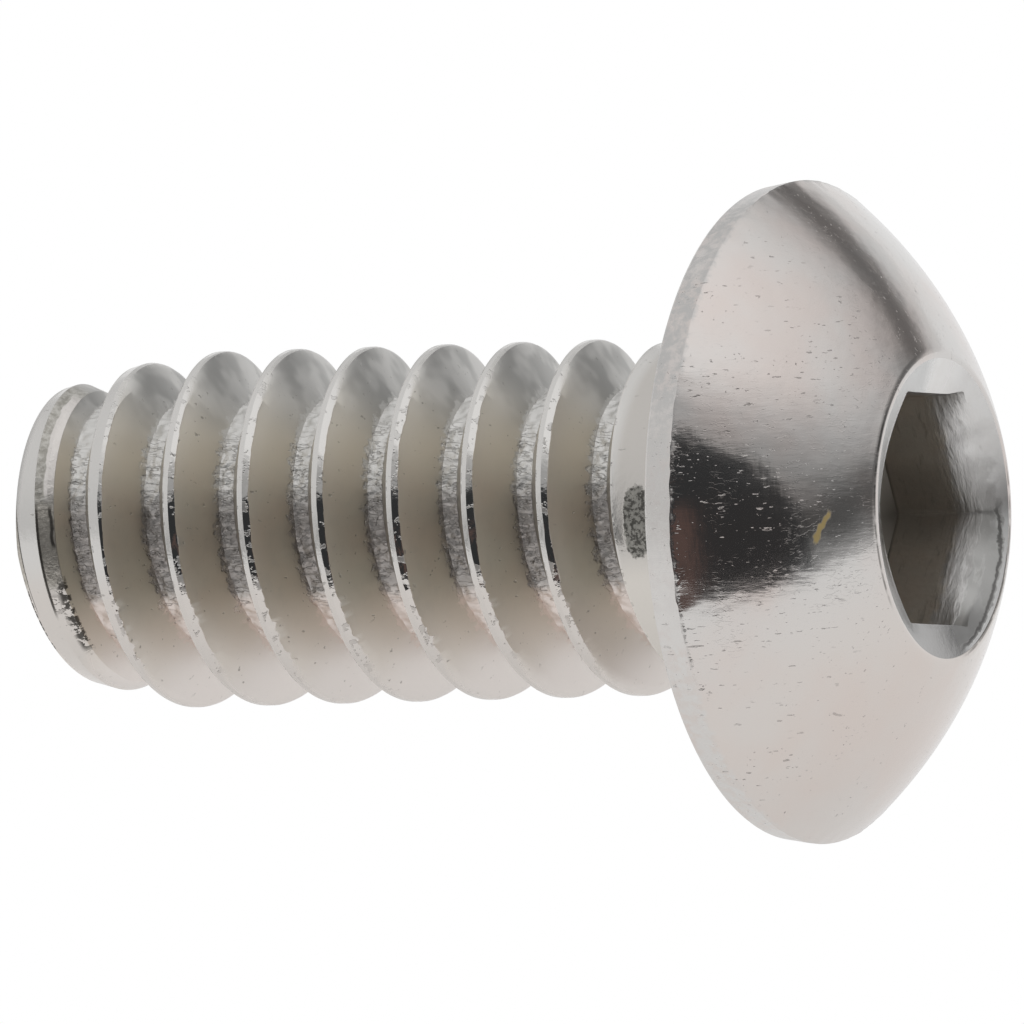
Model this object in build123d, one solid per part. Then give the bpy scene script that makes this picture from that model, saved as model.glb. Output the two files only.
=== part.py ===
from build123d import *
import math
import os

# A button head screw with a hexagon socket: one cold-headed piece with a rolled right-hand thread.
# Millimetres. It is drawn upright first: z is the distance along the axis from the bearing face,
# positive into the head and negative down the shank, and turns are counted right-handed from +X.
# Then it is laid down as it comes to rest, on the edge of its head and on one crest near the point.

# --- hexagon socket -----------------------------------------------------------------------------
socket_af = 2.19          # across the flats
socket_depth = 1.10       # from the flat on top to the end of the hexagon's walls
mouth_margin = 0.165      # the countersink reaches this far outside the hexagon's corners
mouth_angle = 138.0       # included angle of the countersink, degrees
floor_angle = 120.0       # included angle of the drill point at the bottom, degrees
socket_turn = -2.5        # one corner of the hexagon, degrees round from +X

# --- head ---------------------------------------------------------------------------------------
head_d = 6.30             # over the widest edge of the rim
head_h = 1.64             # bearing face to the flat on top
rim_h = 0.27              # height of the band between the bearing face and the dome
rim_taper = 0.05          # the band leans in by this much at the bearing face
dome_r = 4.73             # radius of the arc that makes the dome
land_width = 0.04         # flat ring left between the dome and the countersink
neck_fillet = 0.12        # between the bearing face and the shank

# --- thread -------------------------------------------------------------------------------------
threads_per_inch = 32
major_d = 3.40
shank_length = 7.70       # bearing face to the end of the shank
crest_flat = 0.088        # width of the crest along the axis
root_flat = 0.157         # width of the root along the axis
flank_angle = 30.0        # each flank from square to the axis, degrees
crest_z = -1.00           # where the last whole crest passes the +X side
neck_h = 0.57             # plain neck under the bearing face
run_out_turns = 0.66      # the groove fades into the neck over this part of a turn
cutter_clear = 0.03       # how far the groove's cutter stands out of the thread

# --- point of the shank -------------------------------------------------------------------------
end_d = 1.86              # flat end of the shank
edge_d = 2.82             # edge between the end chamfer and the taper
edge_h = 0.155            # height of the end chamfer
taper_h = 1.30            # from the end of the shank to the full thread

# --- how it lies --------------------------------------------------------------------------------
roll = 22.0               # how far the +X side has rolled up from level, degrees

inch = 25.4
pitch = inch / threads_per_inch
major_r = major_d / 2
bearing_r = head_d / 2 - rim_taper
socket_corners = socket_af / math.cos(math.radians(30))
mouth_r = socket_corners / 2 + mouth_margin
land_r = mouth_r + land_width
flank_slope = math.tan(math.radians(flank_angle))
thread_depth = (pitch - crest_flat - root_flat) / 2 / flank_slope
root_r = major_r - thread_depth
tip_z = -shank_length
full_end_z = -neck_h - run_out_turns * pitch


def turned_blank():
    """Half the section turned about the axis: point, taper, shank, neck, rim, dome and flat top."""
    with BuildPart() as made:
        with BuildSketch(Plane.XZ):
            with BuildLine():
                shank = Polyline(
                    (0, tip_z),
                    (end_d / 2, tip_z),
                    (edge_d / 2, tip_z + edge_h),
                    (major_r, tip_z + taper_h),
                    (major_r, -neck_fillet),
                )
                neck = RadiusArc(shank @ 1, (major_r + neck_fillet, 0), neck_fillet)
                under = Polyline(neck @ 1, (bearing_r, 0), (head_d / 2, rim_h))
                dome = RadiusArc(under @ 1, (land_r, head_h), -dome_r)
                Polyline(dome @ 1, (0, head_h), (0, tip_z))
            make_face()
        revolve(axis=Axis.Z)
    return made.part


def groove_section(turn, z, lift):
    """The cutter's trapezium at that turn from +X, centred at z and lifted off the root by lift."""
    root_half = root_flat / 2
    outer_half = root_half + (thread_depth + cutter_clear) * flank_slope
    inner_r = root_r + lift
    outer_r = major_r + cutter_clear + lift
    corners = [
        (inner_r, -root_half),
        (outer_r, -outer_half),
        (outer_r, outer_half),
        (inner_r, root_half),
    ]
    at_height = Plane(origin=(0, 0, z), x_dir=(1, 0, 0), z_dir=(0, -1, 0))
    return (at_height * Polygon(*corners, align=None)).rotate(Axis.Z, 360 * turn)


def helical_cut(start_turn, start_z, turns, end_lift):
    """A stretch of the groove's cutter that begins at full depth and ends lifted by end_lift."""
    rise = turns * pitch
    path = Helix(pitch, rise, major_r, center=(0, 0, start_z)).rotate(Axis.Z, 360 * start_turn)
    first = groove_section(start_turn, start_z, 0)
    if end_lift == 0:
        return sweep(first, path=path, is_frenet=True)
    last = groove_section(start_turn + turns, start_z + rise, end_lift)
    return sweep([first, last], path=path, multisection=True, is_frenet=True)


def thread_groove():
    """The whole groove, from past the end of the shank to where it fades into the neck."""
    end_turn = (full_end_z - crest_z - pitch / 2) / pitch
    whole_turns = math.ceil((shank_length + full_end_z) / pitch) + 1
    whole = helical_cut(end_turn, full_end_z - whole_turns * pitch, whole_turns, 0)
    run_out = helical_cut(end_turn, full_end_z, run_out_turns, thread_depth)
    return [whole, run_out]


def socket():
    """The hexagon with its countersunk mouth and the drill point at its bottom."""
    mouth_h = mouth_r / math.tan(math.radians(mouth_angle / 2))
    floor_r = socket_af / 2
    floor_h = floor_r / math.tan(math.radians(floor_angle / 2))
    floor_z = head_h - socket_depth
    hexagon = RegularPolygon(socket_corners / 2, 6, rotation=socket_turn)
    walls = extrude(Plane.XY.offset(floor_z) * hexagon, socket_depth)
    mouth = Plane.XY.offset(head_h - mouth_h / 2) * Cone(0, mouth_r, mouth_h)
    floor = Plane.XY.offset(floor_z - floor_h / 2) * Cone(0, floor_r, floor_h)
    return walls + mouth + floor


def crest_r(z):
    """Radius of a crest at that height: the taper at the point trims it."""
    taper = (major_r - edge_d / 2) / (taper_h - edge_h)
    return min(major_r, edge_d / 2 + (z - tip_z - edge_h) * taper)


def rest_tilt():
    """The tilt at which the first crest on the underside meets the floor, with the head on its edge."""
    underside_turn = (90 + roll) / 360
    crests = int(shank_length / pitch)
    middles = [crest_z + (underside_turn - n) * pitch for n in range(crests + 1)]
    edges = [z + side * crest_flat / 2 for z in middles for side in (-1, 1)]
    on_shank = [z for z in edges if tip_z + edge_h < z < -neck_h]
    return min(math.degrees(math.atan2(bearing_r - crest_r(z), -z)) for z in on_shank)


def laid_down(upright):
    """Turned so that the axis rises towards +X, and moved so that its box stands on the origin."""
    tilt = math.radians(rest_tilt())
    rolled = math.radians(roll)
    axis = Vector(math.cos(tilt), 0, math.sin(tilt))
    upward = Vector(-math.sin(tilt), 0, math.cos(tilt))
    counted_from = Vector(0, -math.cos(rolled), 0) + upward * math.sin(rolled)
    lying = Plane(origin=(0, 0, 0), x_dir=counted_from, z_dir=axis).location * upright
    box = lying.bounding_box()
    return Pos(-box.center().X, -box.center().Y, -box.min.Z) * lying


screw = turned_blank() - socket() - thread_groove()
os.makedirs("parts", exist_ok=True)
export_step(laid_down(screw), "parts/screw.step")
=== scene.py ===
import bpy
import math
from contextlib import contextmanager
from mathutils import Matrix, Vector, noise


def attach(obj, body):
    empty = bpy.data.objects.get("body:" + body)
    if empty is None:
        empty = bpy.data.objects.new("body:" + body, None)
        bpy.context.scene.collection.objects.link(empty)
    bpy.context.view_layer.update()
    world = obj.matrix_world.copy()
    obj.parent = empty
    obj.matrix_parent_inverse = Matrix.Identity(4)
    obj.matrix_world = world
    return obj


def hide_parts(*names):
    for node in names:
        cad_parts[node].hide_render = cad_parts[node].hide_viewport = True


# A button head screw lying on a white table, on the edge of its head and on one crest near its point.
# It is modelled upright in millimetres: z is the distance along the axis from the bearing face, positive into
# the head, and turns are counted right-handed from +X. Then it is laid down as the frame says, in metres.

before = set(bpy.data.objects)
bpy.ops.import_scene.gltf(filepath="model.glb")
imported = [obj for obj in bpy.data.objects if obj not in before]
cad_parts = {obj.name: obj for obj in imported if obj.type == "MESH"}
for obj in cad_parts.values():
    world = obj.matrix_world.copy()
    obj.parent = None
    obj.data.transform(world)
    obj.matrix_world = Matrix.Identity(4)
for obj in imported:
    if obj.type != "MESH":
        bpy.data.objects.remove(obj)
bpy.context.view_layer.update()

# --- hexagon socket -----------------------------------------
socket_af = 2.19          # across the flats
socket_depth = 1.10       # from the flat on top to the end of the hexagon's walls
socket_round = 0.05       # radius in the hexagon's corners
mouth_margin = 0.165      # the countersink reaches this far outside the hexagon's corners
mouth_angle = 138.0       # included angle of the countersink, degrees
floor_angle = 120.0       # included angle of the drill point at the bottom, degrees
socket_turn = -2.5        # one corner of the hexagon, degrees round from +X

# --- head ---------------------------------------------------
head_d = 6.30             # over the widest edge of the rim
head_h = 1.64             # bearing face to the flat on top
rim_h = 0.29              # height of the band between the bearing face and the dome
rim_taper = 0.05          # the band leans in by this much at the bearing face
dome_r = 4.73             # radius of the arc that makes the dome
land_width = 0.04         # flat ring left between the dome and the countersink
neck_fillet = 0.12        # between the bearing face and the neck
rim_round = 0.03          # how far the rim's two edges are worn round
head_seat = -0.025        # the head sits this much further down the shank

# --- thread -------------------------------------------------
threads_per_inch = 32
major_d = 3.40
neck_d = 3.22             # the neck under the head is a little thinner than the full crests
shank_length = 7.70       # bearing face to the end of the shank
crest_flat = 0.088        # width of the crest along the axis
root_flat = 0.157         # width of the root along the axis
flank_angle = 30.0        # each flank from square to the axis, degrees
crest_z = -1.00           # where the last whole crest passes the +X side
neck_h = 0.57             # bearing face to where the groove has faded away
neck_crest_h = 1.02       # bearing face to where the crests begin to rise above the neck
full_crest_h = 1.55       # bearing face to the first crest of full height
run_out_turns = 0.66      # the groove fades into the neck over this part of a turn
shoulder = 0.034          # how far the crest's shoulder drops on its head side
shoulder_slope = 0.62     # drop of that shoulder over its width

# --- point of the shank -------------------------------------
end_d = 1.86              # flat end of the shank
edge_d = 2.82             # edge between the end chamfer and the taper
edge_h = 0.155            # height of the end chamfer
taper_h = 1.30            # from the end of the shank to the full thread
end_slant = 0.035         # the sheared end leans by this much at its edge
first_shoulder = 0.100    # the first crest's shoulder drops by this much

# --- wear of the thread, heights from the end of the shank --
first_crest_h = (0.45, 0.85)            # the first crest gives way to the others between these
second_crest_h = (1.0, 1.2, 1.75, 1.95)    # the second crest, whose shoulder drops half as far
skinless_h = (0.15, 0.30)               # the torn skin fades away between these, towards the end
unchipped_h = (0.20, 0.30)              # and the chips between these
lap = (-0.22, -0.18, -0.043, -0.034)    # turns between which the first crest's edge is folded over
lip_out = 0.010           # the folded edge stands out by this much
seam_in = 0.014           # the seam beside it lies in by this much
chipped = (0.03, 0.08, 0.33, 0.42)      # turns between which the crests are chipped most
sharp_side = (0.42, 0.75)               # cosine of the turn: the crests' edges are rubbed round below the
                                        # first and kept sharp above the second, which is along the +X side
chip_all = 0.005          # how deep the chips are elsewhere
chip_more = 0.030         # how much deeper they are there
skin_depth = 0.016        # the torn skin in the roots stands in or out by about this much

# --- wear of the head ---------------------------------------
rim_wave = 0.011          # the rim's upper edge wanders by this much
rim_wave_front = 0.012    # and by this much more on its front
front_angle = 0.12        # the middle of that front, radians round from +X
front_half = (0.25, 0.40) # it is whole within the first and ends at the second, radians from its middle
drag_reach = 0.47         # the far wall of the socket is dragged over down to this depth
drag_bend = 1.9           # how sharply it bends over
drag_half = (38, 72)      # whole within the first and ended at the second, degrees from its middle
ring_depth = 0.0025       # the torn ring below it stands in or out by this much

# --- how it lies --------------------------------------------
tilt = 12.427             # the axis rises this much towards +X, degrees
roll = 22.0               # how far the screw's own +X side has rolled up from level, degrees
bearing_at = Vector((2.90097, 0.0, 3.02759))    # the middle of the bearing face

# --- mesh ---------------------------------------------------
columns = 324             # round the axis, a multiple of six so that the socket's corners fall on columns
shoulder_rows = 3         # rows of vertices over the crest's shoulder
flank_rows = (5, 3)       # over the flank below that shoulder and over the other one
root_rows = 8             # over the root
dome_rows = 34            # over the dome
floor_rows = 8            # over the socket's floor
weld = 0.0004             # vertices nearer than this are one
shoulder_way = 0.2        # the shoulder's share of the way from the crest's edge, 2, to its middle, 3
sunk_crest = 2.6          # a crest that has sunk into the root is given this place on that way
plain_flank = 1.6         # and the sheared end is given this one
edge_row = 0.012          # rows of vertices this near an edge keep it crisp
wall_rows = (0.04, 0.08, 0.12, 0.16, 0.21, 0.27, 0.35, 0.5, 0.7)    # depths of rows down the socket's wall
end_rings = (0.86, 0.72, 0.6, 0.45, 0.3)    # each ring of the sheared end over the one outside it
crease_angle = 21.0       # edges sharper than this stay sharp, degrees

mm = 0.001
micron = 0.000001
inch = 25.4
pitch = inch / threads_per_inch
major_r = major_d / 2
neck_r = neck_d / 2
bearing_r = head_d / 2 - rim_taper
flank_slope = math.tan(math.radians(flank_angle))
thread_depth = (pitch - crest_flat - root_flat) / 2 / flank_slope
root_r = major_r - thread_depth
tip_z = -shank_length
full_end_z = -neck_h - run_out_turns * pitch
mouth_r = socket_af / 2 / math.cos(math.radians(30)) + mouth_margin
land_r = mouth_r + land_width
mouth_slope = math.tan(math.radians(mouth_angle / 2))
floor_z = head_h - socket_depth
neck_foot = -neck_fillet + head_seat                    # where the head's mesh begins
neck_top = neck_foot - 0.04                             # where the shank's mesh ends

root_half = root_flat / 2
crest_edge = pitch / 2 - crest_flat / 2                 # both measured from the middle of a groove
shoulder_low = crest_edge - shoulder * flank_slope
shoulder_top = shoulder_low + shoulder / shoulder_slope


# === Small helpers ==========================================
def spread(low, high, count):
    """Values between low and high, count steps apart, without the first."""
    return [low + (high - low) * (i + 1) / count for i in range(count)]


def between(start, end, count):
    """Points on the straight way from start to end, without the first."""
    return list(zip(spread(start[0], end[0], count), spread(start[1], end[1], count)))


def share(low, high, value):
    """0 up to low, 1 from high and a straight rise between them."""
    return min(1.0, max(0.0, (value - low) / (high - low)))


def smooth(low, high, value):
    """0 up to low, 1 from high and a smooth rise between them."""
    part = share(low, high, value)
    return part * part * (3 - 2 * part)


def window(start, full, fading, end, value):
    """0 up to start, 1 from full to fading and 0 again from end, with a smooth rise and fall."""
    return smooth(start, full, value) * (1 - smooth(fading, end, value))


def rough(point, size, seed=0.0, stretch=1.0):
    """Smooth noise from about -1 to 1 with features of that size, stretched along the axis."""
    moved = Vector((point.x, point.y, point.z / stretch)) / size
    return noise.noise(moved + Vector((seed, seed * 1.7, -seed)))


@contextmanager
def editing(piece):
    """Edit mode on the piece, and object mode again afterwards."""
    bpy.context.view_layer.objects.active = piece
    bpy.ops.object.mode_set(mode="EDIT")
    yield
    bpy.ops.object.mode_set(mode="OBJECT")


def drawn_line(name, points):
    """A line of edges through (radius, z) points in the plane y = 0, extruded from one vertex."""
    bpy.ops.object.select_all(action="DESELECT")
    bpy.ops.mesh.primitive_plane_add(size=1, location=(0, 0, 0))
    line = bpy.context.object
    line.name = name
    with editing(line):
        bpy.ops.mesh.merge(type="CENTER")
        bpy.ops.transform.translate(value=(points[0][0], 0, points[0][1]))
        for (r_from, z_from), (r_to, z_to) in zip(points, points[1:]):
            step = {"value": (r_to - r_from, 0, z_to - z_from)}
            bpy.ops.mesh.extrude_region_move(TRANSFORM_OT_translate=step)
    return line


def turned(line, rise, turns):
    """The line swept round the axis, rising by rise in each turn."""
    sweep = line.modifiers.new("turned", "SCREW")
    sweep.axis = "Z"
    sweep.screw_offset = rise
    sweep.iterations = turns
    sweep.steps = columns
    sweep.render_steps = columns
    bpy.context.view_layer.objects.active = line
    bpy.ops.object.modifier_apply(modifier=sweep.name)
    line.data.transform(Matrix.Rotation(math.radians(socket_turn), 4, "Z"))
    return line


def weld_doubles(piece):
    """Vertices in the same place become one."""
    with editing(piece):
        bpy.ops.mesh.select_all(action="SELECT")
        bpy.ops.mesh.remove_doubles(threshold=weld)


def select_points(piece, wanted):
    """Selects the vertices whose place is wanted, and the edges between them."""
    with editing(piece):
        bpy.ops.mesh.select_all(action="DESELECT")
        bpy.ops.mesh.select_mode(type="VERT")
    for vertex in piece.data.vertices:
        vertex.select = wanted(vertex.co)


def cut_across(piece, height, **cleared):
    """A row of vertices all round at that height, with one side cleared away if that is asked for."""
    with editing(piece):
        bpy.ops.mesh.select_mode(type="EDGE")
        bpy.ops.mesh.select_all(action="SELECT")
        bpy.ops.mesh.bisect(plane_co=(0, 0, height), plane_no=(0, 0, 1), **cleared)


# === The thread =============================================
def thread_line():
    """One pitch of the thread from crest to crest: crest, shoulder, flank, root, flank, crest."""
    half = pitch / 2
    low_edge = (major_r - shoulder, half - shoulder_low)
    root_start = (root_r, half - root_half)
    root_end = (root_r, half + root_half)
    crest_start = (major_r, half + crest_edge)
    high_edge = (major_r, half - shoulder_top)
    points = [(major_r, 0), high_edge]
    points += between(high_edge, low_edge, shoulder_rows)
    points += between(low_edge, root_start, flank_rows[0])
    points += between(root_start, root_end, root_rows)
    points += between(root_end, crest_start, flank_rows[1])
    points += [(major_r, pitch)]
    return points


def blank_r(z):
    """Radius that the crests reach at that height: the taper at the point, the full thread and the neck."""
    taper = share(tip_z + edge_h, tip_z + taper_h, z)
    waist = smooth(-full_crest_h, -neck_crest_h, z)
    return edge_d / 2 + taper * (major_d - edge_d) / 2 - waist * (major_r - neck_r)


def in_groove(spot):
    """The turn, the middle of the nearest groove and the height above it."""
    turn = math.atan2(spot.y, spot.x) / (2 * math.pi)
    above = (spot.z - crest_z) / pitch - turn - 0.5
    middle = spot.z - (above - round(above)) * pitch
    return turn, middle, spot.z - middle


def first_crest(middle):
    """1 on the crest nearest the point, which is folded over, and 0 on the others."""
    return 1 - smooth(*first_crest_h, middle - pitch / 2 - tip_z)


def softened(turn):
    """0 along the +X side, where the crests kept sharp edges, and 1 where they are rubbed round."""
    return 1 - smooth(*sharp_side, math.cos(2 * math.pi * turn))


def shoulder_drop(spot, turn, first):
    """How far the crest's shoulder below this groove drops: unevenly, and most where it is rubbed round."""
    uneven = 1 + 0.55 * rough(spot, 0.55, 3.0) + 0.3 * rough(spot, 0.18, 5.0) + 2.2 * softened(turn)
    second = window(*second_crest_h, spot.z - tip_z)
    return shoulder * uneven * (1 - 0.5 * second) * (1 - first) + first_shoulder * first


def nick(spot, turn):
    """Small chips out of the crest's shoulder, more of them where it rubbed along its neighbours."""
    reach = chip_all + chip_more * window(*chipped, turn)
    chip = max(0.0, rough(spot, 0.06, 9.0) + 0.5 * rough(spot, 0.035, 2.0) - 0.1)
    return chip * reach * (1 - 0.8 * softened(turn)) * smooth(*unchipped_h, spot.z - tip_z)


def fold(across, spot, turn):
    """How far the folded-over shoulder of the first crest stands out, across from 0 at its low edge to 1."""
    lip = 1 - smooth(0.35, 0.6, across)
    seam = window(0.4, 0.6, 0.8, 1.0, across)
    return window(*lap, turn) * (lip_out * lip - seam_in * seam + 0.008 * seam * rough(spot, 0.06, 3.0, 1.5))


def torn(spot, away, faded):
    """How far the root's torn skin stands in or out at this place."""
    ragged = 0.3 * rough(spot, 0.08, 8.0, 2.0)
    in_root = 1 - smooth(root_half * 0.85, root_half * 1.35, away + ragged * root_half)
    deep = 1 - smooth(0.4, 0.75, faded)
    off_end = smooth(*skinless_h, spot.z - tip_z)
    pull = rough(spot, 0.06, 1.0, 1.4) + 0.6 * rough(spot, 0.11, 4.0, 1.5) + 0.5 * rough(spot, 0.3, 7.0)
    return skin_depth * in_root * deep * off_end * pull


def rolled(spot):
    """Where a vertex of the plain thread goes: trimmed at the point, faded at the neck and torn in the root.

    With it comes its place on the way from the middle of the root, 0, over the root's edge, 1, and the
    crest's edge, 2, to the middle of the crest, 3.
    """
    turn, middle, height = in_groove(spot)
    side = 1 if height > 0 else -1
    away = abs(height)
    faded = share(full_end_z, full_end_z + run_out_turns * pitch, middle)
    bottom = root_r + faded * thread_depth
    edge = crest_edge
    for _ in range(6):    # the flank goes up to where the crest is, which takes a few steps to find
        edge = max(root_half, root_half + (blank_r(middle + side * edge) - bottom) * flank_slope)
    low, top, old_low, old_top = edge, edge, crest_edge, crest_edge
    first = first_crest(middle) if side < 0 else 0.0
    if side < 0:
        room = edge - root_half
        drop = min(shoulder_drop(spot, turn, first), room / flank_slope * 0.8)
        chip = nick(spot, turn) * (1 - 0.85 * first) * min(1.0, room / 0.1)
        low = max(edge - drop * flank_slope - chip, root_half + room * 0.15)
        top = min(edge + drop * (1 / shoulder_slope - flank_slope) + chip * 0.4, pitch / 2 - 0.01)
        old_low, old_top = shoulder_low, shoulder_top
    low_r = bottom + (low - root_half) / flank_slope
    if away <= root_half + weld:
        now, radius, way = away, bottom, away / root_half
    elif away <= old_low + weld:
        climbed = (away - root_half) / (old_low - root_half)
        now = root_half + climbed * (low - root_half)
        radius, way = bottom + (now - root_half) / flank_slope, 1 + climbed
    elif away < old_top - weld:
        across = (away - old_low) / (old_top - old_low)
        now = low + across * (top - low)
        bulge = across * (1 - across) * softened(turn) * (1 - first)
        radius = low_r + (across + bulge) * (blank_r(middle + side * top) - low_r)
        radius += first * fold(across, spot, turn)
        way = 2 + shoulder_way * across
    else:
        crossed = max(0.0, away - old_top) / (pitch / 2 - old_top)
        now = top + crossed * (pitch / 2 - top)
        radius, way = major_r, 2 + shoulder_way + crossed * (1 - shoulder_way)
    z = middle + side * now
    radius = min(radius, blank_r(z)) + torn(place(turn, root_r, z), away, faded)
    way += (sunk_crest - way) * (1 - smooth(0.02, 0.10, edge - root_half))
    return place(turn, radius, z), way


def place(turn, radius, z):
    """The point at that turn, radius and height."""
    angle = 2 * math.pi * turn
    return Vector((radius * math.cos(angle), radius * math.sin(angle), z))


def trimmed(spot):
    """Where a vertex goes at the point of the shank: the end chamfer, and the slant of the sheared end."""
    turn = math.atan2(spot.y, spot.x) / (2 * math.pi)
    radius = spot.xy.length
    if spot.z < tip_z + edge_h:
        radius = min(radius, (end_d + (edge_d - end_d) * (spot.z - tip_z) / edge_h) / 2)
    near_end = 1 - smooth(tip_z + 0.1, tip_z + 0.8, spot.z)
    lean = end_slant * near_end * math.sin(2 * math.pi * turn) * radius / (edge_d / 2)
    return place(turn, radius, spot.z + lean)


def threaded_shank():
    """The thread from the end of the shank up to the fillet under the head."""
    turns_below = math.ceil((shank_length + crest_z) / pitch + 1)
    turns = turns_below + math.ceil(-crest_z / pitch) + 1
    shank = drawn_line("shank", thread_line())
    shank.data.transform(Matrix.Translation((0, 0, crest_z - turns_below * pitch)))
    turned(shank, pitch, turns)
    shank.data.transform(Matrix.Translation((0, 0, pitch * socket_turn / 360)))
    groove = shank.data.attributes.new("groove", "FLOAT", "POINT")
    for vertex, way in zip(shank.data.vertices, groove.data):
        vertex.co, way.value = rolled(vertex.co)
    weld_doubles(shank)
    cut_across(shank, tip_z + edge_h)
    cut_across(shank, neck_top, clear_outer=True)
    cut_across(shank, tip_z, clear_inner=True)
    for vertex in shank.data.vertices:
        vertex.co = trimmed(vertex.co)
    close_end(shank)
    return shank


def close_end(shank):
    """The flat end of the shank, drawn in ring by ring from the edge that the last cut left selected.

    Its rings take the plain flank's finish, whatever the groove is at the edge.
    """
    with editing(shank):
        for inward in end_rings:
            bpy.ops.mesh.extrude_edges_move()
            bpy.ops.transform.resize(value=(inward, inward, inward))
        bpy.ops.mesh.extrude_edges_move()
        bpy.ops.mesh.merge(type="CENTER")
        bpy.ops.mesh.select_mode(type="VERT")
    for vertex, way in zip(shank.data.vertices, shank.data.attributes["groove"].data):
        if vertex.co.xy.length < end_d / 2 * 0.9:
            way.value = plain_flank


# === The head ===============================================
def dome_line(start, end, count):
    """Points of the dome's arc from start to end, without the first."""
    start, end = Vector(start), Vector(end)
    chord = end - start
    inward = Vector((-chord.y, chord.x)).normalized()
    centre = (start + end) / 2 + inward * math.sqrt(dome_r ** 2 - (chord.length / 2) ** 2)
    first = math.atan2(start.y - centre.y, start.x - centre.x)
    sweep = 2 * math.asin(chord.length / 2 / dome_r)
    angles = spread(first, first + sweep, count)
    return [(centre.x + dome_r * math.cos(a), centre.y + dome_r * math.sin(a)) for a in angles]


def head_line():
    """Half the head's section, from the neck round the outside and down to the middle of the socket."""
    quarter = [i * math.pi / 8 for i in range(5)]
    points = [(neck_r + neck_fillet * (1 - math.cos(a)), neck_fillet * (math.sin(a) - 1)) for a in quarter]
    points += between(points[-1], (bearing_r - rim_round, 0), 5)
    points += [(bearing_r - rim_round * 0.3, rim_round * 0.28), (bearing_r + edge_row / 2, rim_round)]
    points += between(points[-1], (head_d / 2 - edge_row / 2, rim_h - rim_round), 3)
    points += [(head_d / 2 - 0.002, rim_h)]
    points += dome_line((head_d / 2, rim_h), (land_r, head_h), dome_rows)[1:-1]
    points += [(land_r + edge_row, head_h - edge_row / 3), (land_r - edge_row, head_h)]
    points += [(mouth_r + edge_row, head_h), (mouth_r - edge_row / 2, head_h - edge_row / 2)]
    wall = (socket_af / 2, head_h - (mouth_r - socket_af / 2) / mouth_slope)
    points += between(points[-1], wall, 4)
    points += [(socket_af / 2, wall[1] - depth) for depth in wall_rows]
    points += [(socket_af / 2, floor_z)]
    point = (0, floor_z - socket_af / 2 / math.tan(math.radians(floor_angle / 2)))
    points += between((socket_af / 2, floor_z), point, floor_rows)
    return points


def hexagon_r(angle):
    """Distance from the axis to the socket's wall at that angle."""
    from_corner = abs((math.degrees(angle) - socket_turn + 30) % 60 - 30)
    flat = socket_af / 2 / math.cos(math.radians(30 - from_corner))
    away = (socket_af / 2 - socket_round) / math.cos(math.radians(30))
    across = away * math.sin(math.radians(from_corner))
    if across > socket_round * math.sin(math.radians(30)):
        return flat
    return away * math.cos(math.radians(from_corner)) + math.sqrt(socket_round ** 2 - across ** 2)


def rolled_over(angle, radius, depth, hexagon):
    """Where the wall's upper end goes where the punch dragged it over, and how fully it does so."""
    side = 1 - smooth(*drag_half, abs((math.degrees(angle) + 360) % 360 - 180))
    spot = place(angle / (2 * math.pi), 1.2, 0)
    reach = drag_reach * (1 + 0.12 * rough(spot, 0.22, 2.0))
    over = hexagon + (mouth_r - hexagon) * max(0.0, 1 - depth / reach) ** drag_bend
    spot.z = depth * 3.0
    torn_ring = rough(spot, 0.11, 4.0) + 0.6 * rough(spot, 0.05, 1.0)
    over += ring_depth * torn_ring * window(0.04, 0.1, 0.35, 0.5, depth)
    return radius + (over - radius) * side, side


def head():
    """The head with its hexagon socket."""
    top = turned(drawn_line("head", head_line()), 0, 1)
    wall_r = socket_af / 2
    wall_top = head_h - (mouth_r - wall_r) / mouth_slope
    for vertex in top.data.vertices:
        angle = math.atan2(vertex.co.y, vertex.co.x)
        radius, z = vertex.co.xy.length, vertex.co.z
        if rim_h - rim_round - weld < z < rim_h + 0.03 and radius > head_d / 2 - 0.05:
            worn = rough(vertex.co, 0.13, 5.0) + 0.8 * rough(vertex.co, 0.05, 2.0)
            front = 1 - smooth(*front_half, abs(angle - front_angle))
            vertex.co.z += (rim_wave + rim_wave_front * front) * worn
        if z < floor_z - weld and radius < wall_r + weld or radius > mouth_r - 0.02 or z < 0:
            continue
        hexagon = hexagon_r(angle)
        depth = head_h - z
        if radius > wall_r + weld:
            radius = hexagon + (radius - wall_r) / (mouth_r - wall_r) * (mouth_r - hexagon)
            z = head_h - (mouth_r - radius) / mouth_slope
        elif radius > wall_r - weld:
            high = head_h - (mouth_r - hexagon) / mouth_slope
            radius = hexagon
            z = high - (wall_top - z) / (wall_top - floor_z) * (high - floor_z)
        if radius > wall_r - weld:
            radius, side = rolled_over(angle, radius, depth, hexagon)
            z += (head_h - depth - z) * side
        vertex.co = place(angle / (2 * math.pi), radius, z)
    top.data.transform(Matrix.Translation((0, 0, head_seat)))
    return top


# === The whole screw ========================================
def laid_down():
    """The way from the upright screw in millimetres to where it lies, in metres."""
    lean, rolled_by = math.radians(tilt), math.radians(roll)
    axis = Vector((math.cos(lean), 0, math.sin(lean)))
    upward = Vector((-math.sin(lean), 0, math.cos(lean)))
    counted_from = Vector((0, -math.cos(rolled_by), 0)) + upward * math.sin(rolled_by)
    turn = Matrix((counted_from, axis.cross(counted_from), axis)).transposed().to_4x4()
    return Matrix.Scale(mm, 4) @ Matrix.Translation(bearing_at) @ turn


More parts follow.
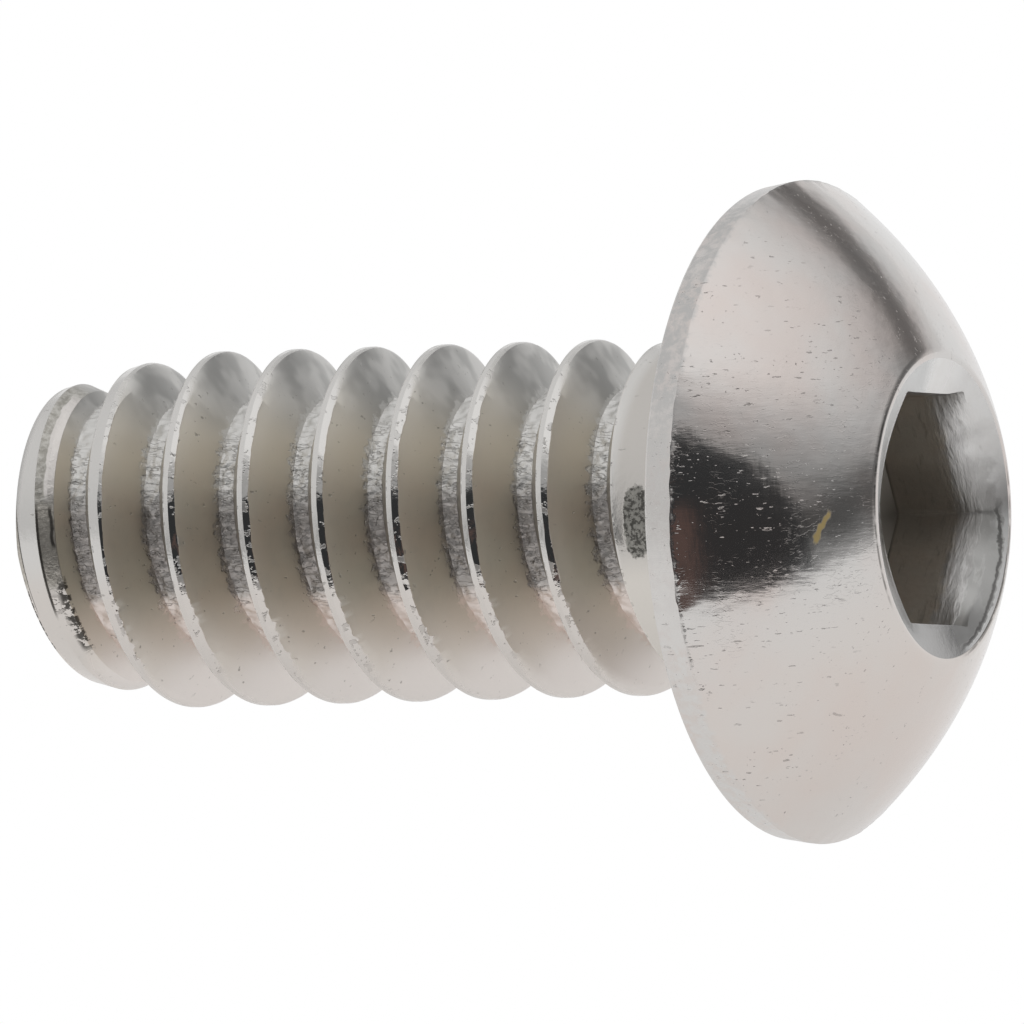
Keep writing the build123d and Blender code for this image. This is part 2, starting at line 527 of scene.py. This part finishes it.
def whole_screw():
    """Shank and head in one closed mesh, laid down where the frame has them."""
    shank, top = threaded_shank(), head()
    bpy.ops.object.select_all(action="DESELECT")
    shank.select_set(True)
    top.select_set(True)
    bpy.context.view_layer.objects.active = shank
    bpy.ops.object.join()
    screw = bpy.context.object
    screw.name = "button_head_screw"
    weld_doubles(screw)
    select_points(screw, lambda spot: neck_top - weld < spot.z < neck_foot + weld)
    with editing(screw):
        bpy.ops.mesh.bridge_edge_loops()
        bpy.ops.mesh.select_all(action="SELECT")
        bpy.ops.mesh.normals_make_consistent(inside=False)
    on_head, on_thread, in_socket = range(3)
    for finish in (head_finish(), thread_finish(), socket_finish()):
        screw.data.materials.append(finish)
    for face in screw.data.polygons:
        z, radius = face.center.z, face.center.xy.length
        face.material_index = on_head
        if z < neck_foot:
            face.material_index = on_thread
        elif 0 < z < head_h + head_seat - edge_row / 3 and radius < mouth_r:
            face.material_index = in_socket
    screw.data.transform(laid_down())
    bpy.ops.object.select_all(action="DESELECT")
    screw.select_set(True)
    bpy.ops.object.shade_smooth_by_angle(angle=math.radians(crease_angle))
    return screw


# === Node helpers ===========================================
def wire(value, socket):
    """A node's output goes by a link, anything else is the socket's own value."""
    if isinstance(value, bpy.types.NodeSocket):
        socket.id_data.links.new(value, socket)
    elif socket.type == "RGBA":
        socket.default_value = (*value, 1)
    else:
        socket.default_value = value


def add(tree, kind, **settings):
    """A new shader node of that kind."""
    node = tree.nodes.new("ShaderNode" + kind)
    for name, value in settings.items():
        setattr(node, name, value)
    return node


def worked_out(kind, operation, result, values):
    """What a sum on the values gives, in the tree of those that are a node's output."""
    tree = next(value.id_data for value in values if isinstance(value, bpy.types.NodeSocket))
    node = add(tree, kind, operation=operation)
    for socket, value in zip(node.inputs, values):
        wire(value, socket)
    return node.outputs[result]


def calc(operation, *values):
    """The result of a sum on up to three values."""
    return worked_out("Math", operation, "Value", values)


def times(first, *others):
    """The product of all the values."""
    for other in others:
        first = calc("MULTIPLY", first, other)
    return first


def most(first, *others):
    """The greatest of all the values."""
    for other in others:
        first = calc("MAXIMUM", first, other)
    return first


def scaled(value, by, plus):
    """The value times by, plus another."""
    return calc("MULTIPLY_ADD", value, by, plus)


def vector_calc(operation, *values, result="Vector"):
    """What a sum on vectors gives: a vector, unless another result is asked for."""
    return worked_out("VectorMath", operation, result, values)


def dot(vector, way):
    """How far the vector goes that way."""
    return vector_calc("DOT_PRODUCT", vector, way, result="Value")


def stretched(vector, by):
    """The vector with its three parts multiplied."""
    return vector_calc("MULTIPLY", vector, by)


def drawn_out(around, width, height):
    """A vector for patterns that are drawn out round the axis: less so with more width."""
    lift = add(around.id_data, "CombineXYZ")
    wire(height, lift.inputs["Z"])
    return vector_calc("ADD", stretched(around, (width, width, 0)), lift.outputs["Vector"])


def rise(value, low, high):
    """0 at low, 1 at high and a smooth rise between them."""
    node = add(value.id_data, "MapRange", interpolation_type="SMOOTHSTEP")
    wire(value, node.inputs["Value"])
    wire(low, node.inputs["From Min"])
    wire(high, node.inputs["From Max"])
    return node.outputs["Result"]


def band(value, start, full, fading, end):
    """0 up to start, 1 from full to fading and 0 again from end, with a smooth rise and fall."""
    return times(rise(value, start, full), rise(value, end, fading))


def near(value, middle, half):
    """1 where the value is close to the middle and 0 from half away."""
    off = calc("ABSOLUTE", calc("SUBTRACT", value, middle))
    return rise(off, half, half * 0.3)


def sector(around, middle, half, full=0.7):
    """1 within a share of so many degrees from a place round the axis, and 0 outside them."""
    middle, half = math.radians(middle), math.radians(half)
    facing = dot(around, (math.cos(middle), math.sin(middle), 0))
    return rise(facing, math.cos(half), math.cos(half * full))


def mixed(factor, low, high):
    """One colour where the factor is 0 and the other where it is 1."""
    node = add(factor.id_data, "Mix", data_type="RGBA")
    wire(factor, node.inputs[0])
    wire(low, node.inputs[6])
    wire(high, node.inputs[7])
    return node.outputs[2]


def coated(colour, *coats):
    """The colour under one coat after another: a coat is its paint and the masks that it is limited by."""
    for paint, *masks in coats:
        colour = mixed(times(*masks), colour, paint)
    return colour


def noise_at(vector, scale, detail=2.0, roughness=0.5):
    """Smooth noise around 0.5 with about that many features to the millimetre."""
    node = add(vector.id_data, "TexNoise")
    wire(vector, node.inputs["Vector"])
    wire(scale, node.inputs["Scale"])
    node.inputs["Detail"].default_value = detail
    node.inputs["Roughness"].default_value = roughness
    return node.outputs["Fac"]


def wavering(value, amount, fac):
    """The value moved up and down by noise, by up to about half the amount."""
    return scaled(calc("SUBTRACT", fac, 0.5), amount, value)


def cracks(vector, scale, width):
    """1 in thin wandering cracks."""
    return near(noise_at(vector, scale, 2.0, 0.6), 0.47, width)


def relief(shader, *layers):
    """Raises the surface by one layer of height after another, each times its number of micrometres."""
    normal = None
    for height, microns in layers:
        node = add(shader.id_data, "Bump")
        node.inputs["Strength"].default_value = 1.0
        node.inputs["Distance"].default_value = microns * micron
        wire(height, node.inputs["Height"])
        if normal is not None:
            wire(normal, node.inputs["Normal"])
        normal = node.outputs["Normal"]
    wire(normal, shader.inputs["Normal"])


def group(name, inputs, outputs):
    """An empty node group with named sockets: its tree, its input sockets by name and its output node's."""
    tree = bpy.data.node_groups.new(name, "ShaderNodeTree")
    for way, sockets in (("INPUT", inputs), ("OUTPUT", outputs)):
        for label, kind in sockets.items():
            tree.interface.new_socket(label, in_out=way, socket_type="NodeSocket" + kind)
    given = tree.nodes.new("NodeGroupInput").outputs
    return tree, given, tree.nodes.new("NodeGroupOutput").inputs


def use(tree, shared, **values):
    """A shared group placed in a material with its own values: its outputs by name."""
    node = add(tree, "Group")
    node.node_tree = shared
    for name, value in values.items():
        wire(value, node.inputs[name])
    return node.outputs


# === Shared effects =========================================
def upright_place():
    """Where a point is on the upright screw, in millimetres, and the way from the axis to it.

    Swept follows the head's outline: a pattern in it is about three times as long that way as round the axis.
    """
    tree, _, out = group("upright place", {}, {
        "Place": "Vector", "Swept": "Vector", "Around": "Vector", "Radius": "Float", "Height": "Float",
    })
    back = laid_down().inverted()
    turn = add(tree, "Mapping", vector_type="POINT")
    wire(add(tree, "TexCoord").outputs["Object"], turn.inputs["Vector"])
    turn.inputs["Scale"].default_value = (1 / mm, 1 / mm, 1 / mm)
    turn.inputs["Rotation"].default_value = back.to_euler()
    turn.inputs["Location"].default_value = back.translation
    place_there = turn.outputs["Vector"]
    flat = stretched(place_there, (1, 1, 0))
    around = vector_calc("NORMALIZE", flat)
    height = dot(place_there, (0, 0, 1))
    wire(place_there, out["Place"])
    wire(drawn_out(around, 2.4, times(height, 0.35)), out["Swept"])
    wire(around, out["Around"])
    wire(vector_calc("LENGTH", flat, result="Value"), out["Radius"])
    wire(height, out["Height"])
    return tree


def plate_tone():
    """The plating's own colour, which wanders between two close tones in soft patches."""
    inputs = {"Place": "Vector", "Patches": "Float", "Cool": "Color", "Warm": "Color"}
    tree, given, out = group("plate tone", inputs, {"Colour": "Color"})
    cloud = noise_at(given["Place"], given["Patches"], 3.0, 0.6)
    wire(mixed(rise(cloud, 0.35, 0.68), given["Cool"], given["Warm"]), out["Colour"])
    return tree


def fine_marks():
    """Short scratches along one way, thinned out to some patches."""
    inputs = {"Place": "Vector", "Stretch": "Vector", "Scale": "Float", "Cover": "Float"}
    tree, given, out = group("fine marks", inputs, {"Mask": "Float"})
    line = noise_at(stretched(given["Place"], given["Stretch"]), given["Scale"], 2.0, 0.55)
    start, full = (calc("SUBTRACT", level, given["Cover"]) for level in (0.80, 0.86))
    patch = rise(noise_at(given["Place"], 2.3, 1.0), 0.40, 0.60)
    wire(times(rise(line, start, full), patch), out["Mask"])
    return tree


shared = {}


def tone(spot, patches, cool, warm):
    """The plate tone between a cool and a warm colour."""
    return use(spot.id_data, shared["tone"], Place=spot, Patches=patches, Cool=cool, Warm=warm)["Colour"]


def marks_on(spot, stretch, scale, cover):
    """1 on the fine marks."""
    return use(spot.id_data, shared["marks"], Place=spot, Stretch=stretch, Scale=scale, Cover=cover)["Mask"]


def plated_metal(name):
    """A new metal material: itself, its shader and the outputs of the upright place."""
    metal = bpy.data.materials.new(name)
    metal.use_nodes = True
    shader = metal.node_tree.nodes["Principled BSDF"]
    shader.inputs["Metallic"].default_value = 1.0
    return metal, shader, use(metal.node_tree, shared["place"]).values()


def fibre(spot, around):
    """1 on a short fibre that lies stuck to the dome."""
    start, end = Vector((1.9337, -0.0458, 1.3592)), Vector((2.0973, 0.2956, 1.2381))
    along = (end - start).normalized()
    across = Vector((0.55, -0.42, 0.55)).cross(along).normalized()
    from_middle = vector_calc("SUBTRACT", spot, (start + end) / 2)
    length = calc("ABSOLUTE", dot(from_middle, along))
    aside = wavering(dot(from_middle, across), 0.12, noise_at(spot, 6.0))
    near_dome = calc("GREATER_THAN", dot(around, (1, 0, 0)), 0.9)
    thin = rise(calc("ABSOLUTE", aside), 0.030, 0.012)
    return times(thin, near_dome, rise(length, 0.20, 0.14))


def head_finish():
    """The bright plated head: wavy, brushed round the axis, with short marks, a rosy tone in patches and a
    painted rosy reflection on the side towards the table.
    """
    metal, shader, (spot, swept, around, radius, height) = plated_metal("bright plated head")
    level = stretched(spot, (0.22, 1.0, 0.22))
    side, underside = dot(around, (1, 0, 0)), dot(around, (0, 1, 0))

    # short cuts in the plating, and fine glints in its darkest reflection
    outer = times(rise(side, 0.3, 0.6), rise(radius, 1.5, 2.3))
    cuts = times(marks_on(level, (1.0, 1.0, 1.0), 32.0, 0.14), outer)
    cuts = most(cuts, marks_on(swept, (1.0, 1.0, 2.8), 30.0, 0.11))
    glints = noise_at(stretched(spot, (0.45, 1.0, 0.45)), 52.0, 2.0, 0.6)
    glints = times(rise(glints, 0.71, 0.80), rise(side, 0.55, 0.9))
    crackle = cracks(stretched(spot, (0.4, 1.0, 0.4)), 16.0, 0.022)
    crackle = times(crackle, rise(noise_at(spot, 3.0), 0.45, 0.62))

    # a dark line painted along the edge of the mouth as shade, in front and behind
    lip = times(near(radius, land_r + 0.022, 0.014), sector(around, -2, 42))
    burr_shade_line = times(near(radius, land_r - 0.025, 0.018), sector(around, 150, 50))
    edge = times(most(lip, burr_shade_line), rise(height, 1.4, 1.45))
    edge = times(edge, rise(noise_at(spot, 5.0), 0.30, 0.50))

    # the mottled band of the rim, painted darker on its upper side as shade, with burrs along its front
    rim_top = rim_h + head_seat
    uneven = wavering(height, 0.10, noise_at(spot, 13.0, 2.0, 0.6))
    rim = rise(uneven, rim_top + 0.04, rim_top - 0.02)
    mottle = rise(noise_at(spot, 9.0, 3.0, 0.65), 0.66, 0.40)
    # painted shade: the rim's mottle is darker on its upper side, away from the table
    rim_mottle_and_shade = mixed(rise(underside, 0.0, -0.5), (0.69, 0.67, 0.65), (0.54, 0.53, 0.52))
    burrs = times(rim, rise(height, rim_top, rim_top + 0.02), sector(around, 8, 26))

    stuck = fibre(spot, around)
    colour = coated(
        tone(spot, 0.7, (0.665, 0.65, 0.635), (0.67, 0.605, 0.575)),
        # painted reflection: a rosy tint on the side of the head towards the table
        ((0.70, 0.625, 0.575), rise(underside, 0.15, 0.70), 0.45),
        ((0.16, 0.15, 0.14), cuts, 0.48),
        # painted shade: a dark line along the edge of the mouth
        ((0.16, 0.15, 0.14), edge, 0.75),
        (rim_mottle_and_shade, rim, mottle),
        ((0.56, 0.43, 0.20), stuck),
    )
    wire(colour, shader.inputs["Base Color"])
    wire(calc("SUBTRACT", 1.0, stuck), shader.inputs["Metallic"])
    blur = scaled(rim, 0.13, scaled(cuts, 0.15, 0.13))
    wire(scaled(burrs, 0.4, blur), shader.inputs["Roughness"])
    relief(
        shader,
        (noise_at(spot, 2.2), 6.0),
        (noise_at(level, 16.0, 3.0, 0.6), 1.1),
        (noise_at(drawn_out(around, 0.5, height), 26.0), 0.6),
        (cuts, -2.8),
        (glints, 1.3),
        (times(burrs, noise_at(level, 26.0)), 12.0),
        (crackle, 0.25),
    )
    return metal


def thread_finish():
    """The thread: satin flanks, burnished crests and a torn skin in the roots."""
    metal, shader, (spot, _, around, radius, height) = plated_metal("rolled thread")
    groove = add(metal.node_tree, "Attribute", attribute_name="groove").outputs["Fac"]
    long, squat = stretched(spot, (1.0, 1.0, 0.3)), stretched(spot, (1.0, 1.0, 0.6))
    front = dot(around, (math.cos(0.1), -math.sin(0.1), 0))
    off_end = rise(radius, end_d / 2 * 0.92, end_d / 2 * 0.99)
    low = times(dot(around, (0, 1, 0)), off_end)
    fine = noise_at(spot, 16.0, 3.0, 0.65)
    grain = rise(fine, 0.35, 0.65)

    # the flanks, with painted light: paler towards the table as a painted reflection of the white table,
    # paler towards the top, and painted shade in soft smudges at the very top
    streak = noise_at(drawn_out(around, 0.5, height), 22.0, 3.0)
    painted_shade_smudge = rise(noise_at(squat, 2.2), 0.42, 0.60)
    colour = coated(
        tone(spot, 1.2, (0.555, 0.525, 0.465), (0.565, 0.51, 0.445)),
        ((0.46, 0.44, 0.40), rise(streak, 0.45, 0.75), 0.25),
        # painted light: paler towards the table and the top, with painted shade smudges at the very top
        ((0.74, 0.685, 0.625), rise(low, 0.35, 0.80)),
        ((0.84, 0.79, 0.755), rise(low, 0.75, 0.97)),
        ((0.64, 0.60, 0.53), rise(low, -0.15, -0.55)),
        (mixed(painted_shade_smudge, (0.66, 0.65, 0.63), (0.47, 0.465, 0.45)), rise(low, -0.60, -0.97)),
    )

    # the roots, whose skin is torn open in places, paler and rosy towards the table as a painted reflection,
    # paler and greyer towards the top as painted light, and darker across the middle of the front
    torn_skin = rise(wavering(groove, 0.6, noise_at(long, 11.0, 3.0, 0.6)), 1.14, 1.02)
    healed = noise_at(spot, 1.1)
    whole = rise(scaled(healed, 0.6, front), 0.98, 1.14)
    patchy = times(rise(healed, 0.42, 0.56), rise(front, 0.3, 0.0))
    lying_open = most(whole, patchy)
    split = times(cracks(long, 15.0, 0.03), scaled(lying_open, 0.9, 0.1))
    darker_middle_front = times(band(low, -0.40, -0.10, 0.42, 0.56), rise(front, 0.0, 0.5))
    skin = coated(
        tone(spot, 1.6, (0.66, 0.645, 0.625), (0.68, 0.62, 0.585)),
        # painted light: paler and rosy towards the table, paler and greyer towards the top
        ((0.81, 0.72, 0.67), rise(low, 0.45, 0.60)),
        ((0.70, 0.69, 0.67), rise(low, 0.1, -0.3)),
        # darker across the middle of the front
        ((0.37, 0.345, 0.33), darker_middle_front, 0.8),
        ((0.20, 0.19, 0.18), split, 0.35),
    )

    # the crests, the neck and the scratches on them; the crests are painted pinker and the neck paler towards
    # the table, as painted reflection
    rubbed = rise(dot(around, (1, 0, 0)), 0.75, 0.42)
    crest = rise(groove, 1.97, scaled(rubbed, 0.35, 2.03))
    # painted reflection: the crests pinker on the side towards the table
    burnished = mixed(rise(low, 0.15, 0.42), (0.665, 0.65, 0.63), (0.66, 0.62, 0.585))
    # painted light: the neck paler on the side towards the table, darker on its upper side
    neck = mixed(rise(low, 0.15, 0.4), (0.57, 0.545, 0.515), (0.68, 0.645, 0.60))
    scratches = marks_on(spot, (1.0, 1.0, 0.35), 18.0, 0.13)

    # the first crest: pressed flat behind, with a bright strip at its edge, and folded over in front
    near_point = rise(height, tip_z + 0.95, tip_z + 0.75)
    on_first = times(near_point, band(groove, 1.98, 2.01, 2.20, 2.24))
    pressed = times(on_first, sector(around, -45, 42))
    strip = rise(wavering(groove, 0.12, noise_at(spot, 5.0)), 2.11, 2.09)
    strip = times(strip, near_point, sector(around, -42, 32), rise(groove, 1.98, 2.01))
    facet = times(on_first, sector(around, 4, 19))
    bent = wavering(groove, 0.05, noise_at(spot, 7.0))
    slits = times(near(bent, 2.035, 0.03), sector(around, -3, 9))
    seam = times(near(groove, 2.185, 0.02), sector(around, 10, 24))
    crumbs = times(band(groove, 1.80, 1.90, 2.05, 2.12), sector(around, 34, 19))
    crumbs = times(crumbs, rise(fine, 0.46, 0.50))
    slits = times(most(slits, seam, crumbs), near_point)

    # the crushed and dirty patch on the neck
    off_patch = [
        calc("POWER", calc("DIVIDE", calc("SUBTRACT", value, middle), half), power)
        for value, middle, half, power in ((height, -0.85, 0.13, 2), (low, 0.02, 0.215, 4))
    ]
    off_patch = wavering(calc("ADD", *off_patch), 1.1, fine)
    patch = times(rise(off_patch, 1.15, 0.8), rise(front, 0.0, 0.5))
    rubble = rise(noise_at(spot, 21.0, 4.0, 0.7), 0.54, 0.44)
    colour = coated(
        colour,
        (skin, torn_skin),
        (burnished, crest),
        (neck, rise(height, -1.15, -1.0)),
        ((0.20, 0.19, 0.17), scratches, 0.5),
        (mixed(grain, (0.40, 0.385, 0.35), (0.60, 0.585, 0.55)), pressed),
        ((0.80, 0.765, 0.74), strip, 0.9),
        (mixed(grain, (0.53, 0.50, 0.45), (0.66, 0.625, 0.57)), facet),
        ((0.07, 0.065, 0.058), slits, 0.9),
        (mixed(rubble, (0.38, 0.37, 0.34), (0.10, 0.097, 0.088)), patch, 0.95),
    )
    wire(colour, shader.inputs["Base Color"])

    # what is crumpled, chipped and crushed is rough as well, and so is the sheared end's chamfer
    cells = add(metal.node_tree, "TexVoronoi", feature="SMOOTH_F1")
    wire(stretched(spot, (1.0, 1.0, 0.7)), cells.inputs["Vector"])
    cells.inputs["Scale"].default_value = 19.0
    crumpled = times(noise_at(spot, 34.0, 3.0, 0.6), 0.8)
    crumpled = scaled(cells.outputs["Distance"], -1.6, crumpled)
    rugged = times(torn_skin, scaled(lying_open, 0.8, 0.2))
    on_shoulder = times(crest, rise(groove, 2.24, 2.18))
    first = times(near_point, rise(low, 0.45, 0.3))
    chips = rise(noise_at(squat, 8.0, 3.0, 0.65), 0.56, 0.60)
    chips = times(chips, on_shoulder, calc("SUBTRACT", 1.0, first))
    crushed = most(pressed, facet, patch, slits)
    relief(
        shader,
        (times(crumpled, rugged), 9.0),
        (times(split, torn_skin), -6.0),
        (times(streak, calc("SUBTRACT", 1.0, torn_skin)), 0.8),
        (scratches, -3.0),
        (times(noise_at(spot, 9.0, 3.0, 0.6), crest), 3.0),
        (chips, 3.0),
        (times(fine, crushed), 9.0),
    )
    polish = scaled(most(first, chips), 0.34, -0.11)
    roughness = calc("ADD", times(on_shoulder, polish), scaled(crest, -0.20, 0.40))
    roughness = scaled(torn_skin, -0.02, roughness)
    chamfer = rise(height, tip_z + edge_h + 0.05, tip_z + edge_h - 0.01)
    roughness = most(roughness, times(crushed, 0.48), times(chamfer, 0.55))
    wire(roughness, shader.inputs["Roughness"])
    wire(scaled(chamfer, -0.7, 1.0), shader.inputs["Metallic"])
    return metal


def socket_finish():
    """The punched socket: bright and scored below its mouth, with painted highlights there, duller and darker
    further down.
    """
    metal, shader, (spot, _, around, radius, height) = plated_metal("punched socket")
    ragged = wavering(height, 0.30, noise_at(spot, 7.0, 3.0, 0.6))
    wander = wavering(height, 0.10, noise_at(spot, 5.0, 1.0, 0.6))
    wavy = wavering(radius, 0.07, noise_at(spot, 9.0, 3.0, 0.65))
    lines = noise_at(drawn_out(around, 0.3, height), 16.0, 3.0, 0.6)
    on_wall = rise(height, 1.52, 1.46)
    low_right, far_edge = sector(around, 142, 45), sector(around, 143, 42)

    # the wall, from its bright top to its dull foot
    wall = tone(spot, 2.5, (0.77, 0.76, 0.75), (0.73, 0.715, 0.70))
    foot = tone(spot, 1.5, (0.69, 0.655, 0.60), (0.69, 0.625, 0.56))

    # the panel on the lower right, scored along the turns, with a darker strip under it
    strip = mixed(rise(lines, 0.46, 0.60), (0.50, 0.49, 0.48), (0.66, 0.65, 0.64))
    panel = mixed(rise(lines, 0.52, 0.62), (0.62, 0.615, 0.60), (0.74, 0.735, 0.72))
    on_panel = times(low_right, rise(wander, 1.38, 1.40))

    # scores, painted shade and dark reflection, painted highlights and the mouth's torn edge, whose groove is
    # painted dark
    scored = times(rise(lines, 0.55, 0.72), on_wall)
    below = times(rise(dot(around, (0, 1, 0)), 0.45, 0.85), rise(height, 1.45, 1.50))
    corner = times(sector(around, -178, 26, 0.1), rise(ragged, 1.57, 1.47))
    burr_shade_line = times(near(wavy, 1.37, 0.020), far_edge)
    lip = times(far_edge, rise(wavy, 1.39, 1.40))
    bright = times(sector(around, -42, 50), rise(height, 1.45, 1.50))
    ledges = times(rise(noise_at(spot, 11.0, 1.0), 0.48, 0.54), sector(around, 4, 12))
    ledges = times(ledges, rise(radius, mouth_r - 0.06, mouth_r - 0.09))
    floor = rise(height, floor_z + head_seat + 0.04, floor_z + head_seat)
    colour = coated(
        wall,
        ((0.52, 0.505, 0.50), rise(ragged, 1.43, 1.33), 0.45),
        (foot, rise(ragged, 1.22, 1.12)),
        (strip, low_right, rise(wander, 1.24, 1.255)),
        (panel, on_panel),
        ((0.30, 0.29, 0.27), scored, 0.4),
        # painted dark reflection on the side towards the table
        ((0.34, 0.335, 0.33), below, 0.9),
        # painted shade in the far corner, near the mouth
        ((0.30, 0.29, 0.275), corner, 0.45),
        # painted shade: the groove along the mouth's far edge is painted dark
        ((0.14, 0.135, 0.13), burr_shade_line, 0.8),
        # painted highlight: a bright matte lip at the mouth's far edge
        ((0.90, 0.90, 0.89), lip),
        # painted highlight: a bright matte band just inside the mouth on its upper side
        ((0.88, 0.88, 0.87), bright),
        ((0.20, 0.19, 0.18), ledges, 0.8),
        ((0.32, 0.30, 0.27), floor),
    )
    wire(colour, shader.inputs["Base Color"])

    # the painted highlights are made matte, and so is half the panel
    matte = most(bright, times(on_panel, 0.5), times(lip, 0.9))
    wire(scaled(matte, -0.85, 1.0), shader.inputs["Metallic"])
    torn_wall = times(on_wall, rise(height, 1.0, 1.2), scaled(on_panel, -0.8, 1.0))
    relief(
        shader,
        (times(lines, torn_wall), 10.0),
        (burr_shade_line, -4.0),
        (noise_at(spot, 14.0, 3.0, 0.6), 2.0),
    )
    rolled_side = rise(dot(around, (-1, 0, 0)), 0.1, 0.5)
    dull = most(times(on_wall, 0.18), times(rolled_side, 0.28), times(floor, 0.4))
    wire(calc("ADD", dull, 0.20), shader.inputs["Roughness"])
    return metal


# === Camera, light and table ================================
view_right = Vector((0.91602486, 0.4011215, 0.0))
view_up = Vector((-0.17254304, 0.39402952, 0.90275669))
view_back = Vector((0.36211511, -0.82694757, 0.43015156))
view_at = Vector((0.0165, 0.0, 2.484))    # the middle of the view, in millimetres
view_width = 9.754        # across the view there, in millimetres
view_from = 280           # from there to the camera, in millimetres
film_width = 36
table_width = 0.6         # in metres


def camera():
    """A long lens that looks down on the screw from the side of its head."""
    data = bpy.data.cameras.new("camera")
    data.sensor_width = film_width
    data.lens = film_width * view_from / view_width
    data.clip_start = 0.01
    data.clip_end = 10
    seen_from = bpy.data.objects.new("camera", data)
    bpy.context.scene.collection.objects.link(seen_from)
    turn = Matrix((view_right, view_up, view_back)).transposed().to_4x4()
    seen_from.matrix_world = Matrix.Translation((view_at + view_back * view_from) * mm) @ turn
    bpy.context.scene.camera = seen_from


def table():
    """A white table top, well beyond the view on every side."""
    bpy.ops.object.select_all(action="DESELECT")
    bpy.ops.mesh.primitive_plane_add(size=table_width, location=(0, 0, 0))
    top = bpy.context.object
    top.name = "table_top"
    paint = bpy.data.materials.new("white table")
    paint.use_nodes = True
    tree = paint.node_tree
    shader = tree.nodes["Principled BSDF"]
    wire((0.96, 0.96, 0.96), shader.inputs["Base Color"])
    wire(0.9, shader.inputs["Roughness"])
    wire(0.0, shader.inputs["Specular IOR Level"])
    seen = add(tree, "LightPath").outputs
    both = add(tree, "MixShader")
    wire(most(seen["Is Camera Ray"], times(seen["Is Glossy Ray"], 0.7)), both.inputs["Fac"])
    wire(shader.outputs["BSDF"], both.inputs[1])
    wire(add(tree, "Emission").outputs["Emission"], both.inputs[2])
    wire(both.outputs["Shader"], tree.nodes["Material Output"].inputs["Surface"])
    top.data.materials.append(paint)


def by_height(height, stops):
    """A grey that changes with the height above the table in degrees, through (height, brightness) stops."""
    ramp = add(height.id_data, "ValToRGB")
    wire(calc("DIVIDE", height, 90), ramp.inputs["Fac"])
    elements = ramp.color_ramp.elements
    elements[0].position, elements[1].position = stops[0][0] / 90, stops[-1][0] / 90
    for at, value in stops[1:-1]:
        elements.new(at / 90)
    for element, (at, value) in zip(elements, stops):
        element.color = (value, value, value, 1)
    return ramp.outputs["Color"]


# The brightness of the tent's walls by the height above the table, in degrees.
left_wall = ((0, 0.74), (4, 0.68), (14, 0.72), (24, 0.79), (36, 0.81), (60, 0.84), (75, 0.95), (90, 1.0))
right_wall = (
    (0, 0.75), (3, 0.58), (6, 0.27), (10, 0.155), (14, 0.165), (18, 0.35),
    (22, 0.55), (26, 0.67), (34, 0.80), (42, 0.88), (54, 0.97), (64, 1.0),
)
right_turns = (20, 55, 158, 172)    # the right-hand wall comes in and goes between these, degrees round
# The opening at the front, in degrees round from straight ahead and above the table.
opening_left = -48
opening_right = 58
opening_top = 47
opening_lean = ((20, 0.35), (33, 0.9))    # above each height its right side leans in, by so much a degree
red_turns = (18, 21, 27, 34)    # something reddish stands between these
red_heights = (29, 22)    # and ends between these


def above(value, start):
    """How far the value is above the start, and 0 below it."""
    return most(calc("SUBTRACT", value, start), 0)


def tent():
    """A white light tent with a dark opening at the front, dimmer low down and dimmest at the back right."""
    scene = bpy.context.scene
    scene.view_settings.view_transform = "Standard"
    scene.world = bpy.data.worlds.new("light tent")
    scene.world.use_nodes = True
    tree = scene.world.node_tree
    tree.nodes.clear()
    light = add(tree, "Background")
    wire(light.outputs["Background"], add(tree, "OutputWorld").inputs["Surface"])
    towards = add(tree, "TexCoord").outputs["Generated"]
    ahead = Vector((view_back.x, view_back.y, 0)).normalized()
    sideways = calc("ARCTAN2", dot(towards, view_right), dot(towards, ahead))
    turn = calc("DEGREES", sideways)
    height = calc("DEGREES", calc("ARCSINE", dot(towards, (0, 0, 1))))

    # the walls, where the right-hand one is darker low down
    lowered = scaled(rise(turn, 125, 150), -4, height)
    on_right = band(turn, *right_turns)
    wall = mixed(on_right, by_height(height, left_wall), by_height(lowered, right_wall))

    # how far each direction is outside the opening, whose right side leans in towards the top
    leaning = calc("ADD", *(times(above(height, start), lean) for start, lean in opening_lean))
    right = calc("SUBTRACT", calc("ADD", turn, leaning), opening_right)
    left = calc("SUBTRACT", opening_left, turn)
    up = most(right, calc("SUBTRACT", height, opening_top))
    dimmed = scaled(rise(most(up, calc("ADD", left, 25)), 3, 45), 0.47, 0.53)

    # something reddish in the dark behind it
    red = times(band(turn, *red_turns), rise(height, *red_heights))
    opening = mixed(red, (0.038, 0.040, 0.042), (0.12, 0.082, 0.073))
    outside = rise(most(up, left), -2, 2)
    wire(mixed(outside, opening, stretched(wall, dimmed)), light.inputs["Color"])


bpy.ops.object.select_all(action="DESELECT")
camera()
table()
tent()
shared.update(place=upright_place(), tone=plate_tone(), marks=fine_marks())
screw = whole_screw()
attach(screw, "root")
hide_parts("screw")
